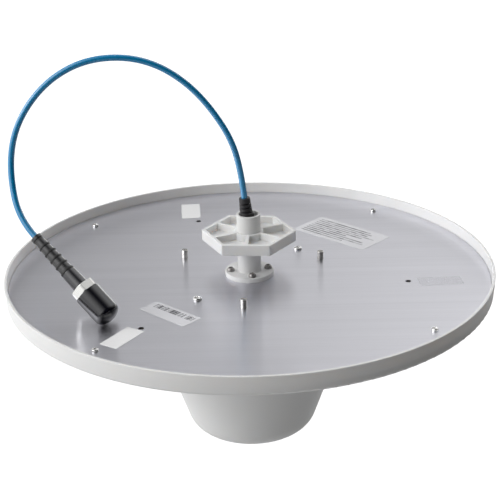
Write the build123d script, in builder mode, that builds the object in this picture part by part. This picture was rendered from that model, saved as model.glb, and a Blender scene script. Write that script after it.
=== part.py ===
from build123d import *
import os
from math import atan2, cos, degrees, pi, radians, sin, tan

# Ceiling dome antenna. Millimetres, +Z up towards the ceiling, dome pointing down.
# The origin is the centre of the rim's upper edge, which lies against the ceiling.

# ---------------------------------------------------------------- radome
rim_radius = 200.0            # outer radius of the rim at its upper edge
rim_height = 16.3             # rim's upper edge down to the pan's underside at the rim
rim_taper = 1.2               # radius that the rim loses over its height
rim_lip = 2.4                 # thickness of the rim at its upper edge
rim_inner_draft = 0.3         # radius that the rim's inner wall loses down to the ledge
rim_corner = 3.0              # rounding between the rim and the underside of the pan
lip_edge = 0.5                # rounding of the lip's two edges
fine_edge = 0.3               # small roundings of moulded and turned edges
soft_edge = 0.5
shell_wall = 2.6              # wall of the pan and the dome
ledge_width = 5.0             # width of the ledge that carries the ground plane
pan_drop = 4.0                # fall of the pan from the rim to the root of the dome
dome_depth = 146.5            # rim's upper edge down to the end of the dome
dome_end_radius = 49.6        # radius of the dome's taper where it meets the end plane
dome_draft = 19.1             # taper of the dome's wall, degrees
dome_end_rounding = 20.0
dome_root_rounding = 11.0
rib_count = 12                # stiffening ribs inside the pan
rib_width = 1.8
rib_gap = 0.4                 # ribs stay this far below the ground plane
rib_start = 3.0               # first rib's direction, degrees
rib_overlap = 1.0             # run of the ribs into the ledge
rib_root_height = 1.5         # ribs at the root of the dome

# ---------------------------------------------------------------- ground plane
plate_recess = 8.9            # rim's upper edge down to the plate's upper face
plate_thickness = 1.5
plate_gap = 0.4               # between the plate's edge and the rim
plate_turn = 50.3             # direction of the row of screws across the plate, degrees
vent_circle = 130.3           # radius of the circle of the three open holes
vent_radius = 2.3
vent_count = 3
rim_screw_inset = 20.7        # circle of the rim screws, this far inside the rim
rim_screw_count = 4
rim_screw_head = 2.6
rim_screw_head_height = 1.7
rim_screw_shank = 1.25
rim_screw_length = 5.0
boss_radius = 4.2

# ---------------------------------------------------------------- stem, nut and flange screws
stem_radius = 9.75
stem_bore = 5.5               # bore for the cable
plate_bore_play = 0.1         # the plate's middle hole is this much wider than the bore
stem_mouth = 8.0              # wider bore at the top, which takes the strain relief
mouth_depth = 6.0
stem_top = 44.2               # above the rim's upper edge
flange_radius = 20.0
flange_thickness = 4.0
flange_root = 1.0
flange_screw_circle = 15.5
flange_screw_count = 4
flange_screw_turn = 8.0
flange_screw_head = 3.2
flange_screw_head_height = 3.2
flange_screw_shank = 1.45
flange_screw_crown = 0.75     # share of the head's height that is rounded
nut_corner_radius = 38.6      # hexagon, centre to corner
nut_thickness = 9.0
nut_top = 29.8                # upper face of the nut above the rim's upper edge
nut_wall = 2.8
nut_rib = 2.8
nut_floor = 3.2
nut_collar_wall = 2.15        # wall of the threaded collar
nut_turn = -4.6               # degrees
nut_edge = 0.5
nut_corner_rounding = 1.5
nut_pocket_rounding = 0.8
thread_clearance = 0.1        # radial, nut on stem

# ---------------------------------------------------------------- posts, ring and bracket
post_inset = 7.1              # circle of the posts, this far inside the ring's edge
post_count = 3
post_turn = 25.5
post_radius = 3.6
post_end_radius = 2.6         # turned-down end that passes through the plate
post_end_height = 7.2         # how far that end stands above the plate
ring_level = -62.0            # upper face of the low-band ring
ring_thickness = 1.5
ring_gap = 2.1                # between the ring's edge and the dome's wall
ring_width = 15.5
ring_screw_head = 2.8
ring_screw_head_height = 2.0
ring_screw_shank = 1.45
ring_screw_length = 8.0
bracket_circle = 65.4         # circle of the bracket's two pan-head screws
bracket_screw_head = 3.6
bracket_screw_head_height = 2.6
bracket_screw_shank = 1.9
bracket_screw_length = 9.0
bracket_level = -40.0         # upper face of the bracket's bar
bracket_bar_width = 11.0
bracket_bar_thickness = 2.4
bracket_height = 7.0          # depth of the web and of the collar
bracket_web = 2.6
bracket_leg_radius = 4.6
bracket_foot_radius = 7.0
bracket_foot_height = 2.5
bracket_collar_wall = 3.2
bracket_collar_gap = 0.3
collar_screw_head = 2.6
collar_screw_head_height = 1.8
collar_screw_shank = 1.2
collar_screw_length = 7.0

# ---------------------------------------------------------------- feed and radiator
feed_flange_thickness = 5.0
feed_spigot_height = 7.0      # above the plate's underside, inside the stem
feed_spigot_gap = 0.2
insulator_length = 3.6
insulator_nose = 1.4          # bush showing below the feed flange
pin_radius = 0.95
pin_length = 10.0
ferrule_length = 13.0
ferrule_wall = 0.7
ferrule_play = 0.15           # radial, between the ferrule and the feed flange
cone_hub_radius = 6.0
cone_hub_height = 6.0
cone_dome_gap = 8.7           # between the end cap's edge and the dome's wall
cone_floor_gap = 21.6         # between the cone's end and the dome's floor
cone_hub_edge = 0.5           # roundings of the cone's profile
cone_edge_rounding = 6.0
cone_end_rounding = 1.0
cone_skirt = 16.0             # straight skirt below the cone
cone_wall = 1.2
cone_flange = 9.0             # inward flange that carries the end cap
cap_disc_thickness = 1.5
cap_disc_hole = 5.0           # radius of the drain hole in the middle of the end cap
cap_screw_count = 6
cap_screw_inset = 5.0         # screws this far inside the cone's edge
cap_screw_head = 2.3
cap_screw_head_height = 1.5
cap_screw_shank = 1.2
cap_screw_length = 4.0

# ---------------------------------------------------------------- cable and strain relief
cable_radius = 2.5
cable_play = 0.1              # radial, between the cable and what it passes through
cable_bend = 100.0            # radius of the cable's bend inside the stem
cable_lean = 5.45             # lean of the cable where it leaves the stem, towards -X, degrees
cable_lean_depth = 17.7       # the leaning part starts this far below the stem's top
relief_height = 13.8          # strain relief above the stem's top
relief_seat_gap = 0.65        # under the leaning base of the strain relief
relief_mouth_gap = 1.8        # radial, round its base in the stem's mouth
relief_base_length = 6.4
relief_radius = 5.2
relief_taper = 0.25           # radius lost from one segment to the next
relief_segment = 3.3
relief_segment_count = 3
relief_groove_width = 1.0
relief_groove_depth = 1.2
cable_run = 21.1              # first straight run of the free cable
cable_turns = [               # corners of the free cable's route between stem and plug
    (-12, -2, 108),
    (-28, -3, 135),
    (-46, -5, 156),
    (-69, -7, 172),
    (-95, -9, 179),
    (-124, -12, 177),
    (-149, -16, 165),
    (-168, -20, 146),
    (-181, -24, 122),
    (-185, -29, 92),
]

# ---------------------------------------------------------------- connector
plug_heading = -34.9          # direction of the plug's nose seen from above, degrees
plug_pitch = 35.7             # its fall below the horizontal, degrees
plug_rear_x = -164.8          # rear end of the boot
plug_rear_y = -54.2
plug_run = 20.0               # last straight run of the cable, in line with the plug
plug_touch_gap = 0.3          # between the dust cap's lowest point and the ground plane
boot_length = 38.6            # all places below are counted from the rear of the boot
boot_rear_radius = 4.1
boot_front_radius = 5.4
boot_collar_length = 3.0
boot_rib_count = 5
boot_rib_first = 10.6
boot_rib_pitch = 6.7
boot_rib_width = 1.4
boot_rib_height = 0.5
boot_rib_edge = 0.25
boot_spigot_length = 6.0      # part of the boot inside the sleeve
sleeve_length = 15.0
sleeve_rear_wall = 0.5
sleeve_wall = 1.1
ring_clip_radius = 6.9
ring_clip_thickness = 0.8
nut_rear_wall = 2.2
nut_collar_length = 6.3
nut_length = 27.5
nut_hexagon = 9.6             # half the width across the flats of its hexagon
nut_hexagon_corner = 10.5
nut_hexagon_turn = 15.0
nut_skirt_radius = 9.3
nut_thread_radius = 7.9
body_neck_radius = 5.3
body_shoulder_length = 5.6
body_shoulder_gap = 0.6       # radial, between the shoulder and the nut's thread
body_mouth_radius = 4.6
body_mouth_wall = 0.7
body_mouth_length = 12.0
gasket_thickness = 1.6
dielectric_inset = 10.5       # from the rear of the body
dielectric_length = 11.5
contact_radius = 1.5
contact_gap = 0.4             # round the contact in the body's rear bore
contact_inset = 6.0           # from the rear of the body
contact_length = 25.0
contact_tip_radius = 0.8
contact_tip_length = 7.0
dust_cap_gap = 0.1            # behind the cap and round the nut's skirt
dust_cap_length = 28.4
dust_cap_wall = 1.1
dust_cap_dome = 7.0           # depth of its domed end
dust_cap_corner = 5.5         # radius of the dome's corner

# ---------------------------------------------------------------- clearances
fixed_clearance = 0.05        # radial, between pieces pressed, soldered or screwed together
screw_play = 0.2              # radial, round a screw in a plain hole
screw_spare = 0.3             # depth of a blind hole beyond its screw
running_clearance = 0.1       # radial, coupling nut on the connector's body
axial_clearance = 0.2         # coupling nut between its retaining ring and the shoulder

# ---------------------------------------------------------------- levels and places that follow
plate_top = -plate_recess
plate_bottom = plate_top - plate_thickness
plate_radius = rim_radius - rim_lip - rim_inner_draft - plate_gap
ledge_radius = rim_radius - rim_lip - rim_inner_draft - ledge_width
rim_bottom_radius = rim_radius - rim_taper
pan_root = -rim_height - pan_drop
flange_top = plate_top + flange_thickness
mouth_floor = stem_top - mouth_depth
nut_bottom = nut_top - nut_thickness
nut_flat_radius = nut_corner_radius * cos(radians(30))
feed_flange_bottom = plate_bottom - feed_flange_thickness
feed_level = feed_flange_bottom + insulator_length
feed_bore = cable_radius + fixed_clearance + ferrule_wall + ferrule_play
cone_top = feed_flange_bottom - insulator_nose
dome_slope = tan(radians(dome_draft))
dome_end = -dome_depth
rim_screw_circle = rim_radius - rim_screw_inset
nut_collar_radius = stem_radius + thread_clearance + nut_collar_wall
relief_base_radius = stem_mouth - relief_mouth_gap
stem_exit = stem_top + relief_height
lean_slope = tan(radians(cable_lean))
lean_start = stem_top - cable_lean_depth
lean_direction = Vector(-sin(radians(cable_lean)), 0, cos(radians(cable_lean)))
cable_exit = Vector(-(stem_exit - lean_start) * lean_slope, 0, stem_exit)

# places along the plug, counted from the rear of its boot
body_start = boot_length + boot_spigot_length
sleeve_end = boot_length + sleeve_length
ring_clip_end = sleeve_end + ring_clip_thickness
nut_start = ring_clip_end + axial_clearance
nut_collar_end = nut_start + nut_collar_length
nut_end = nut_start + nut_length
shoulder_start = nut_start + nut_rear_wall + axial_clearance
shoulder_end = shoulder_start + body_shoulder_length
shoulder_radius = nut_thread_radius - body_shoulder_gap
mouth_bore = body_mouth_radius - body_mouth_wall
mouth_end = shoulder_end + body_mouth_length
dielectric_start = body_start + dielectric_inset
contact_start = body_start + contact_inset
contact_end = contact_start + contact_length
dust_cap_start = nut_collar_end + dust_cap_gap
dust_cap_end = dust_cap_start + dust_cap_length
dust_cap_shoulder = dust_cap_end - dust_cap_dome
dust_cap_bore = nut_skirt_radius + dust_cap_gap
dust_cap_radius = dust_cap_bore + dust_cap_wall
plug_fall = sin(radians(plug_pitch))
plug_reach = cos(radians(plug_pitch))
plug_direction = Vector(
    plug_reach * cos(radians(plug_heading)),
    plug_reach * sin(radians(plug_heading)),
    -plug_fall,
)
plug_across = Vector(-sin(radians(plug_heading)), cos(radians(plug_heading)), 0)
plug_rear = Vector(
    plug_rear_x,
    plug_rear_y,
    plate_top
    + plug_touch_gap
    + dust_cap_corner
    + (dust_cap_radius - dust_cap_corner) * plug_reach
    + dust_cap_shoulder * plug_fall,
)
plug_axis = Axis(plug_rear, plug_direction)
plug_side = Plane(origin=plug_rear, x_dir=plug_across, z_dir=plug_across.cross(plug_direction))


def dome_radius(z, inset=0.0):
    """Radius of the dome's taper at height z, moved inwards at right angles by inset."""
    return dome_end_radius + (z - dome_end) * dome_slope - inset / cos(radians(dome_draft))


def pan_level(radius):
    """Height of the pan's underside at a radius, on its slope from the rim to the dome."""
    root = dome_radius(pan_root)
    return -rim_height - pan_drop * (rim_bottom_radius - radius) / (rim_bottom_radius - root)


def cone_radius(z):
    """Outer radius of the radiator cone at height z."""
    return cone_hub_radius + (cone_top - z) * cone_slope


def plug_section(station):
    """Plane across the plug's axis, at a distance from the rear of the boot."""
    return Plane(origin=plug_rear + plug_direction * station, x_dir=plug_across, z_dir=plug_direction)


def facing_down(z):
    """Plane at height z whose normal points down."""
    return Plane(origin=(0, 0, z), x_dir=(1, 0, 0), z_dir=(0, 0, -1))


def pan_screw(head_radius, head_height, shank_radius, shank_length, crown=0.55):
    """Pan-head screw along Z, from the underside of its head. Its crown is a share of the head."""
    with BuildPart() as screw:
        Cylinder(head_radius, head_height, align=(Align.CENTER, Align.CENTER, Align.MIN))
        fillet(screw.edges().sort_by(Axis.Z)[-1], crown * head_height)
        Cylinder(shank_radius, shank_length, align=(Align.CENTER, Align.CENTER, Align.MAX))
    return screw.part


def turned(profile, bends=None, plane=Plane.XZ, axis=Axis.Z):
    """Part turned from a closed profile of (radius, station) points, with its corners rounded."""
    with BuildPart() as piece:
        with BuildSketch(plane):
            with BuildLine():
                if bends:
                    FilletPolyline(*profile, radius=bends, close=True)
                else:
                    Polyline(*profile, close=True)
            make_face()
        revolve(axis=axis)
    return piece.part


def save(part, name):
    """Label a finished piece and write its STEP file."""
    part.label = name
    export_step(part, f"parts/{name}.step")


ring_base = ring_level - ring_thickness
ring_outer = dome_radius(ring_base, shell_wall) - ring_gap
ring_inner = ring_outer - ring_width
post_circle = ring_outer - post_inset
cone_bottom = dome_end + shell_wall + cone_floor_gap
cone_edge = cone_bottom + cone_skirt
cone_end_radius = dome_radius(cone_bottom - cap_disc_thickness, shell_wall) - cone_dome_gap
cone_slope = (cone_end_radius - cone_hub_radius) / (cone_top - cone_edge)
hub_bottom = cone_top - cone_hub_height
bracket_base = bracket_level - bracket_height
bracket_rise = bracket_level + bracket_collar_gap
collar_radius = cone_radius(bracket_base) + bracket_collar_gap + bracket_collar_wall
collar_sides = [
    Plane(
        origin=(
            collar_radius * cos(radians(plate_turn + turn)),
            collar_radius * sin(radians(plate_turn + turn)),
            bracket_level - bracket_height / 2,
        ),
        z_dir=(cos(radians(plate_turn + turn)), sin(radians(plate_turn + turn)), 0),
    )
    for turn in (90, -90)
]

os.makedirs("parts", exist_ok=True)

# ================================================================ radome
floor_level = pan_level(ledge_radius) + shell_wall
root_level = pan_root + shell_wall
with BuildPart() as pan_rib:
    with BuildSketch(Plane.XZ):
        with BuildLine():
            Polyline(
                (dome_radius(root_level), root_level - shell_wall / 2),
                (ledge_radius + rib_overlap, floor_level - shell_wall / 2),
                (ledge_radius + rib_overlap, plate_bottom - rib_gap),
                (dome_radius(root_level) + dome_root_rounding, plate_bottom - rib_gap),
                (dome_radius(root_level), root_level + rib_root_height),
                close=True,
            )
        make_face()
    extrude(amount=rib_width / 2, both=True)

with BuildPart() as radome:
    with BuildSketch(Plane.XZ):
        with BuildLine():
            FilletPolyline(
                (0, dome_end),
                (dome_end_radius, dome_end),
                (dome_radius(pan_root), pan_root),
                (rim_bottom_radius, -rim_height),
                (rim_radius, 0),
                (rim_radius - rim_lip, 0),
                (rim_radius - rim_lip - rim_inner_draft, plate_bottom),
                (ledge_radius, plate_bottom),
                (ledge_radius, floor_level),
                (dome_radius(root_level, shell_wall), root_level),
                (dome_radius(dome_end + shell_wall, shell_wall), dome_end + shell_wall),
                (0, dome_end + shell_wall),
                radius=[
                    dome_end_rounding,
                    dome_root_rounding,
                    rim_corner,
                    lip_edge,
                    lip_edge,
                    0,
                    lip_edge,
                    0,
                    dome_root_rounding + shell_wall,
                    dome_end_rounding - shell_wall,
                ],
            )
            Line((0, dome_end + shell_wall), (0, dome_end))
        make_face()
    revolve(axis=Axis.Z)
    with PolarLocations(0, rib_count, start_angle=rib_start):
        add(pan_rib.part)
    with BuildSketch(Plane.XY.offset(plate_bottom)):
        with PolarLocations(rim_screw_circle, rim_screw_count, start_angle=plate_turn):
            Circle(boss_radius)
    extrude(amount=pan_level(rim_screw_circle) + shell_wall / 2 - plate_bottom)
    with BuildSketch(Plane.XY.offset(plate_bottom)):
        with PolarLocations(rim_screw_circle, rim_screw_count, start_angle=plate_turn):
            Circle(rim_screw_shank + fixed_clearance)
    extrude(amount=plate_thickness - rim_screw_length, mode=Mode.SUBTRACT)
save(radome.part, "radome")

# ================================================================ ground plane and its screws
with BuildPart() as ground_plane:
    with BuildSketch(Plane.XY.offset(plate_bottom)):
        Circle(plate_radius)
        Circle(stem_bore + plate_bore_play, mode=Mode.SUBTRACT)
        with PolarLocations(vent_circle, vent_count, start_angle=plate_turn + 60):
            Circle(vent_radius, mode=Mode.SUBTRACT)
        with PolarLocations(rim_screw_circle, rim_screw_count, start_angle=plate_turn):
            Circle(rim_screw_shank + screw_play, mode=Mode.SUBTRACT)
        with PolarLocations(flange_screw_circle, flange_screw_count, start_angle=flange_screw_turn):
            Circle(flange_screw_shank + screw_play, mode=Mode.SUBTRACT)
        with PolarLocations(post_circle, post_count, start_angle=post_turn):
            Circle(post_end_radius + fixed_clearance, mode=Mode.SUBTRACT)
        with PolarLocations(bracket_circle, 2, start_angle=plate_turn):
            Circle(bracket_screw_shank + screw_play, mode=Mode.SUBTRACT)
    extrude(amount=plate_thickness)
save(ground_plane.part, "ground_plane")

rim_screw = pan_screw(
    rim_screw_head,
    rim_screw_head_height,
    rim_screw_shank,
    rim_screw_length - screw_spare,
)
with BuildPart(Plane.XY.offset(plate_top)) as rim_screws:
    with PolarLocations(rim_screw_circle, rim_screw_count, start_angle=plate_turn):
        add(rim_screw)
save(rim_screws.part, "rim_screws")

# ================================================================ mounting stem
with BuildPart() as mounting_stem:
    with BuildSketch(Plane.XZ):
        with BuildLine():
            FilletPolyline(
                (stem_bore, plate_top),
                (flange_radius, plate_top),
                (flange_radius, flange_top),
                (stem_radius, flange_top),
                (stem_radius, stem_top),
                (stem_mouth, stem_top),
                (stem_mouth, mouth_floor),
                (stem_bore, mouth_floor),
                radius=[fine_edge, soft_edge, flange_root, soft_edge, fine_edge, 0],
            )
            Line((stem_bore, mouth_floor), (stem_bore, plate_top))
        make_face()
    revolve(axis=Axis.Z)
    with BuildSketch(Plane.XY.offset(flange_top)):
        with PolarLocations(flange_screw_circle, flange_screw_count, start_angle=flange_screw_turn):
            Circle(flange_screw_shank + screw_play)
    extrude(amount=-flange_thickness, mode=Mode.SUBTRACT)
save(mounting_stem.part, "mounting_stem")

flange_screw = pan_screw(
    flange_screw_head,
    flange_screw_head_height,
    flange_screw_shank,
    flange_thickness + plate_thickness + feed_flange_thickness - screw_spare,
    flange_screw_crown,
)
with BuildPart(Plane.XY.offset(flange_top)) as flange_screws:
    with PolarLocations(flange_screw_circle, flange_screw_count, start_angle=flange_screw_turn):
        add(flange_screw)
save(flange_screws.part, "flange_screws")

# ================================================================ ceiling nut
# A hexagonal hand nut: thin outer wall, floor at the bottom, and six ribs from the threaded
# collar to the middle of each flat, with open pockets between them.
with BuildPart() as ceiling_nut:
    with BuildSketch(Plane.XY.offset(nut_bottom)):
        RegularPolygon(nut_corner_radius, 6, rotation=nut_turn)
        fillet(vertices(), nut_corner_rounding)
    extrude(amount=nut_thickness)
    with BuildSketch(Plane.XY.offset(nut_top)):
        RegularPolygon(nut_flat_radius - nut_wall, 6, major_radius=False, rotation=nut_turn)
        Circle(nut_collar_radius, mode=Mode.SUBTRACT)
        with PolarLocations(nut_flat_radius / 2, 6, start_angle=nut_turn + 30):
            Rectangle(nut_flat_radius, nut_rib, mode=Mode.SUBTRACT)
        fillet(vertices(), nut_pocket_rounding)
    extrude(amount=nut_floor - nut_thickness, mode=Mode.SUBTRACT)
    fillet(faces().sort_by(Axis.Z)[-1].outer_wire().edges(), nut_edge)
    fillet(faces().sort_by(Axis.Z)[0].outer_wire().edges(), nut_edge)
    with BuildSketch(Plane.XY.offset(nut_bottom)):
        Circle(stem_radius + thread_clearance)
    extrude(amount=nut_thickness, mode=Mode.SUBTRACT)
save(ceiling_nut.part, "ceiling_nut")

# ================================================================ feed under the ground plane
with BuildPart() as feed_flange:
    with BuildSketch(Plane.XY.offset(feed_flange_bottom)):
        Circle(flange_radius)
    extrude(amount=feed_flange_thickness)
    with BuildSketch(Plane.XY.offset(plate_bottom)):
        Circle(stem_bore - feed_spigot_gap)
    extrude(amount=feed_spigot_height)
    with BuildSketch(Plane.XY.offset(feed_flange_bottom)):
        Circle(feed_bore)
    extrude(amount=feed_flange_thickness + feed_spigot_height, mode=Mode.SUBTRACT)
    with BuildSketch(Plane.XY.offset(plate_bottom)):
        with PolarLocations(flange_screw_circle, flange_screw_count, start_angle=flange_screw_turn):
            Circle(flange_screw_shank + fixed_clearance)
    extrude(amount=-feed_flange_thickness, mode=Mode.SUBTRACT)
save(feed_flange.part, "feed_flange")

with BuildPart() as feed_insulator:
    with BuildSketch(Plane.XY.offset(feed_level)):
        Circle(feed_bore - fixed_clearance)
        Circle(pin_radius + fixed_clearance, mode=Mode.SUBTRACT)
    extrude(amount=cone_top - feed_level)
save(feed_insulator.part, "feed_insulator")

with BuildPart() as feed_pin:
    with BuildSketch(Plane.XY.offset(feed_level)):
        Circle(pin_radius)
    extrude(amount=-pin_length)
save(feed_pin.part, "feed_pin")

with BuildPart() as cable_ferrule:
    with BuildSketch(Plane.XY.offset(feed_level)):
        Circle(cable_radius + fixed_clearance + ferrule_wall)
        Circle(cable_radius + fixed_clearance, mode=Mode.SUBTRACT)
    extrude(amount=ferrule_length)
save(cable_ferrule.part, "cable_ferrule")

# ================================================================ radiator cone, end cap and screws
with BuildPart() as radiator_cone:
    with BuildSketch(Plane.XZ):
        with BuildLine():
            FilletPolyline(
                (pin_radius + fixed_clearance, cone_top),
                (cone_hub_radius, cone_top),
                (cone_end_radius, cone_edge),
                (cone_end_radius, cone_bottom),
                (cone_end_radius - cone_flange, cone_bottom),
                (cone_end_radius - cone_flange, cone_bottom + cone_wall),
                (cone_end_radius - cone_wall, cone_bottom + cone_wall),
                (cone_end_radius - cone_wall, cone_edge),
                (cone_radius(hub_bottom) - cone_wall, hub_bottom),
                (pin_radius + fixed_clearance, hub_bottom),
                radius=[
                    cone_hub_edge,
                    cone_edge_rounding,
                    cone_end_rounding,
                    0,
                    0,
                    0,
                    cone_edge_rounding - cone_wall,
                    0,
                ],
            )
            Line(
                (pin_radius + fixed_clearance, hub_bottom),
                (pin_radius + fixed_clearance, cone_top),
            )
        make_face()
    revolve(axis=Axis.Z)
    with BuildSketch(Plane.XY.offset(cone_bottom)):
        with PolarLocations(cone_end_radius - cap_screw_inset, cap_screw_count):
            Circle(cap_screw_shank + fixed_clearance)
    extrude(amount=cone_wall, mode=Mode.SUBTRACT)
    for side in collar_sides:
        with BuildSketch(side):
            Circle(collar_screw_shank + fixed_clearance)
        extrude(amount=-collar_screw_length, mode=Mode.SUBTRACT)
save(radiator_cone.part, "radiator_cone")

with BuildPart() as radiator_cap:
    with BuildSketch(Plane.XY.offset(cone_bottom)):
        Circle(cone_end_radius)
        Circle(cap_disc_hole, mode=Mode.SUBTRACT)
        with PolarLocations(cone_end_radius - cap_screw_inset, cap_screw_count):
            Circle(cap_screw_shank + screw_play, mode=Mode.SUBTRACT)
    extrude(amount=-cap_disc_thickness)
save(radiator_cap.part, "radiator_cap")

cap_screw = pan_screw(cap_screw_head, cap_screw_head_height, cap_screw_shank, cap_screw_length)
with BuildPart(facing_down(cone_bottom - cap_disc_thickness)) as cap_screws:
    with PolarLocations(cone_end_radius - cap_screw_inset, cap_screw_count):
        add(cap_screw)
save(cap_screws.part, "cap_screws")

# ================================================================ bracket that steadies the cone
with BuildPart() as radiator_bracket:
    with BuildSketch(Plane.XY.offset(bracket_level)):
        Rectangle(2 * bracket_circle, bracket_bar_width, rotation=plate_turn)
        Circle(collar_radius)
    extrude(amount=-bracket_bar_thickness)
    with BuildSketch(Plane.XY.offset(bracket_level)):
        Rectangle(2 * bracket_circle, bracket_web, rotation=plate_turn)
        Circle(collar_radius)
    extrude(amount=-bracket_height)
    with BuildSketch(Plane.XY.offset(plate_bottom)):
        with PolarLocations(bracket_circle, 2, start_angle=plate_turn):
            Circle(bracket_leg_radius)
    extrude(amount=bracket_level - bracket_height - plate_bottom)
    with BuildSketch(Plane.XY.offset(plate_bottom)):
        with PolarLocations(bracket_circle, 2, start_angle=plate_turn):
            Circle(bracket_foot_radius)
    extrude(amount=-bracket_foot_height)
    with BuildSketch(Plane.XY.offset(plate_bottom)):
        with PolarLocations(bracket_circle, 2, start_angle=plate_turn):
            Circle(bracket_screw_shank + fixed_clearance)
    extrude(amount=-bracket_screw_length, mode=Mode.SUBTRACT)
    with BuildSketch(Plane.XZ):
        Polygon(
            (0, bracket_rise),
            (cone_radius(bracket_rise) + bracket_collar_gap, bracket_rise),
            (cone_radius(bracket_base) + bracket_collar_gap, bracket_base),
            (0, bracket_base),
            align=None,
        )
    revolve(axis=Axis.Z, mode=Mode.SUBTRACT)
    for side in collar_sides:
        with BuildSketch(side):
            Circle(collar_screw_shank + screw_play)
        extrude(amount=-collar_screw_length, mode=Mode.SUBTRACT)
save(radiator_bracket.part, "radiator_bracket")

bracket_screw = pan_screw(
    bracket_screw_head,
    bracket_screw_head_height,
    bracket_screw_shank,
    plate_thickness + bracket_screw_length - screw_spare,
)
with BuildPart(Plane.XY.offset(plate_top)) as bracket_screws:
    with PolarLocations(bracket_circle, 2, start_angle=plate_turn):
        add(bracket_screw)
save(bracket_screws.part, "bracket_screws")

collar_screw = pan_screw(
    collar_screw_head,
    collar_screw_head_height,
    collar_screw_shank,
    collar_screw_length - screw_spare,
)
with BuildPart(*collar_sides) as collar_screws:
    add(collar_screw)
save(collar_screws.part, "collar_screws")

# ================================================================ posts and low-band ring
with BuildPart() as support_posts:
    with BuildSketch(Plane.XY.offset(plate_bottom)):
        with PolarLocations(post_circle, post_count, start_angle=post_turn):
            Circle(post_radius)
    extrude(amount=ring_level - plate_bottom)
    with BuildSketch(Plane.XY.offset(plate_bottom)):
        with PolarLocations(post_circle, post_count, start_angle=post_turn):
            Circle(post_end_radius)
    extrude(amount=plate_thickness + post_end_height)
    chamfer(faces().group_by(Axis.Z)[-1].edges(), fine_edge)
    with BuildSketch(Plane.XY.offset(ring_level)):
        with PolarLocations(post_circle, post_count, start_angle=post_turn):
            Circle(ring_screw_shank + fixed_clearance)
    extrude(amount=ring_screw_length, mode=Mode.SUBTRACT)
save(support_posts.part, "support_posts")

with BuildPart() as low_band_ring:
    with BuildSketch(Plane.XY.offset(ring_level)):
        Circle(ring_outer)
        Circle(ring_inner, mode=Mode.SUBTRACT)
        with PolarLocations(post_circle, post_count, start_angle=post_turn):
            Circle(ring_screw_shank + screw_play, mode=Mode.SUBTRACT)
    extrude(amount=-ring_thickness)
save(low_band_ring.part, "low_band_ring")

ring_screw = pan_screw(
    ring_screw_head,
    ring_screw_head_height,
    ring_screw_shank,
    ring_thickness + ring_screw_length - screw_spare,
)
with BuildPart(facing_down(ring_base)) as ring_screws:
    with PolarLocations(post_circle, post_count, start_angle=-post_turn):
        add(ring_screw)
save(ring_screws.part, "ring_screws")

# ================================================================ inner cable and strain relief
with BuildPart() as coax_inner:
    with BuildLine():
        FilletPolyline((0, 0, feed_level), (0, 0, lean_start), cable_exit, radius=cable_bend)
    with BuildSketch(Plane.XY.offset(feed_level)):
        Circle(cable_radius)
    sweep()
save(coax_inner.part, "coax_inner")

# The relief stands on the line of the leaning cable. Stations run down from its upper end.
relief_length = (relief_height + mouth_depth - relief_seat_gap) / cos(radians(cable_lean))
relief_base = relief_length - relief_base_length
relief_axis = Axis(cable_exit, -lean_direction)
relief_side = Plane(origin=cable_exit, x_dir=(0, 1, 0), z_dir=lean_direction.cross(Vector(0, 1, 0)))
relief_bore = cable_radius + cable_play
with BuildPart() as stem_strain_relief:
    with BuildSketch(relief_side):
        with BuildLine():
            outline = FilletPolyline(
                (relief_bore, 0),
                (relief_radius - relief_segment_count * relief_taper, 0),
                (relief_radius, relief_base),
                (relief_base_radius, relief_base),
                (relief_base_radius, relief_length),
                (relief_bore, relief_length),
                radius=[soft_edge, fine_edge, soft_edge, fine_edge],
            )
            Line(outline @ 1, outline @ 0)
        make_face()
    revolve(axis=relief_axis)
    with BuildSketch(relief_side):
        for segment in range(relief_segment_count):
            groove = relief_base - relief_segment * (segment + 0.5)
            outer = relief_radius - relief_taper * (segment + 0.5)
            with Locations((outer, groove)):
                Rectangle(2 * relief_groove_depth, relief_groove_width)
    revolve(axis=relief_axis, mode=Mode.SUBTRACT)
save(stem_strain_relief.part, "stem_strain_relief")

# ================================================================ free cable
# Straight runs joined by the largest arcs that the runs leave room for.
cable_route = [cable_exit, cable_exit + lean_direction * cable_run]
cable_route += [Vector(*turn) for turn in cable_turns]
cable_route += [plug_rear - plug_direction * plug_run, plug_rear]
cable_bends = []
for before, corner, after in zip(cable_route, cable_route[1:], cable_route[2:]):
    half_turn = radians((corner - before).get_angle(after - corner)) / 2
    cable_bends.append(0.45 * min((corner - before).length, (after - corner).length) / tan(half_turn))
with BuildPart() as coax_lead:
    with BuildLine() as cable_path:
        FilletPolyline(*cable_route, radius=cable_bends)
    with BuildSketch(Plane(origin=cable_exit, z_dir=lean_direction)):
        Circle(cable_radius)
    sweep()
save(coax_lead.part, "coax_lead")
print("free cable: bend radii", [round(bend, 1) for bend in cable_bends])
cable_length = sum(edge.length for edge in cable_path.edges())
cable_volume = cable_length * pi * cable_radius**2
print("free cable: length", round(cable_length, 1))
print("free cable: tube volume over section times length", round(coax_lead.part.volume / cable_volume, 5))

# ================================================================ connector
with BuildPart() as coax_tail:
    with BuildSketch(plug_section(0)):
        Circle(cable_radius)
    extrude(amount=body_start)
save(coax_tail.part, "coax_tail")

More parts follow.
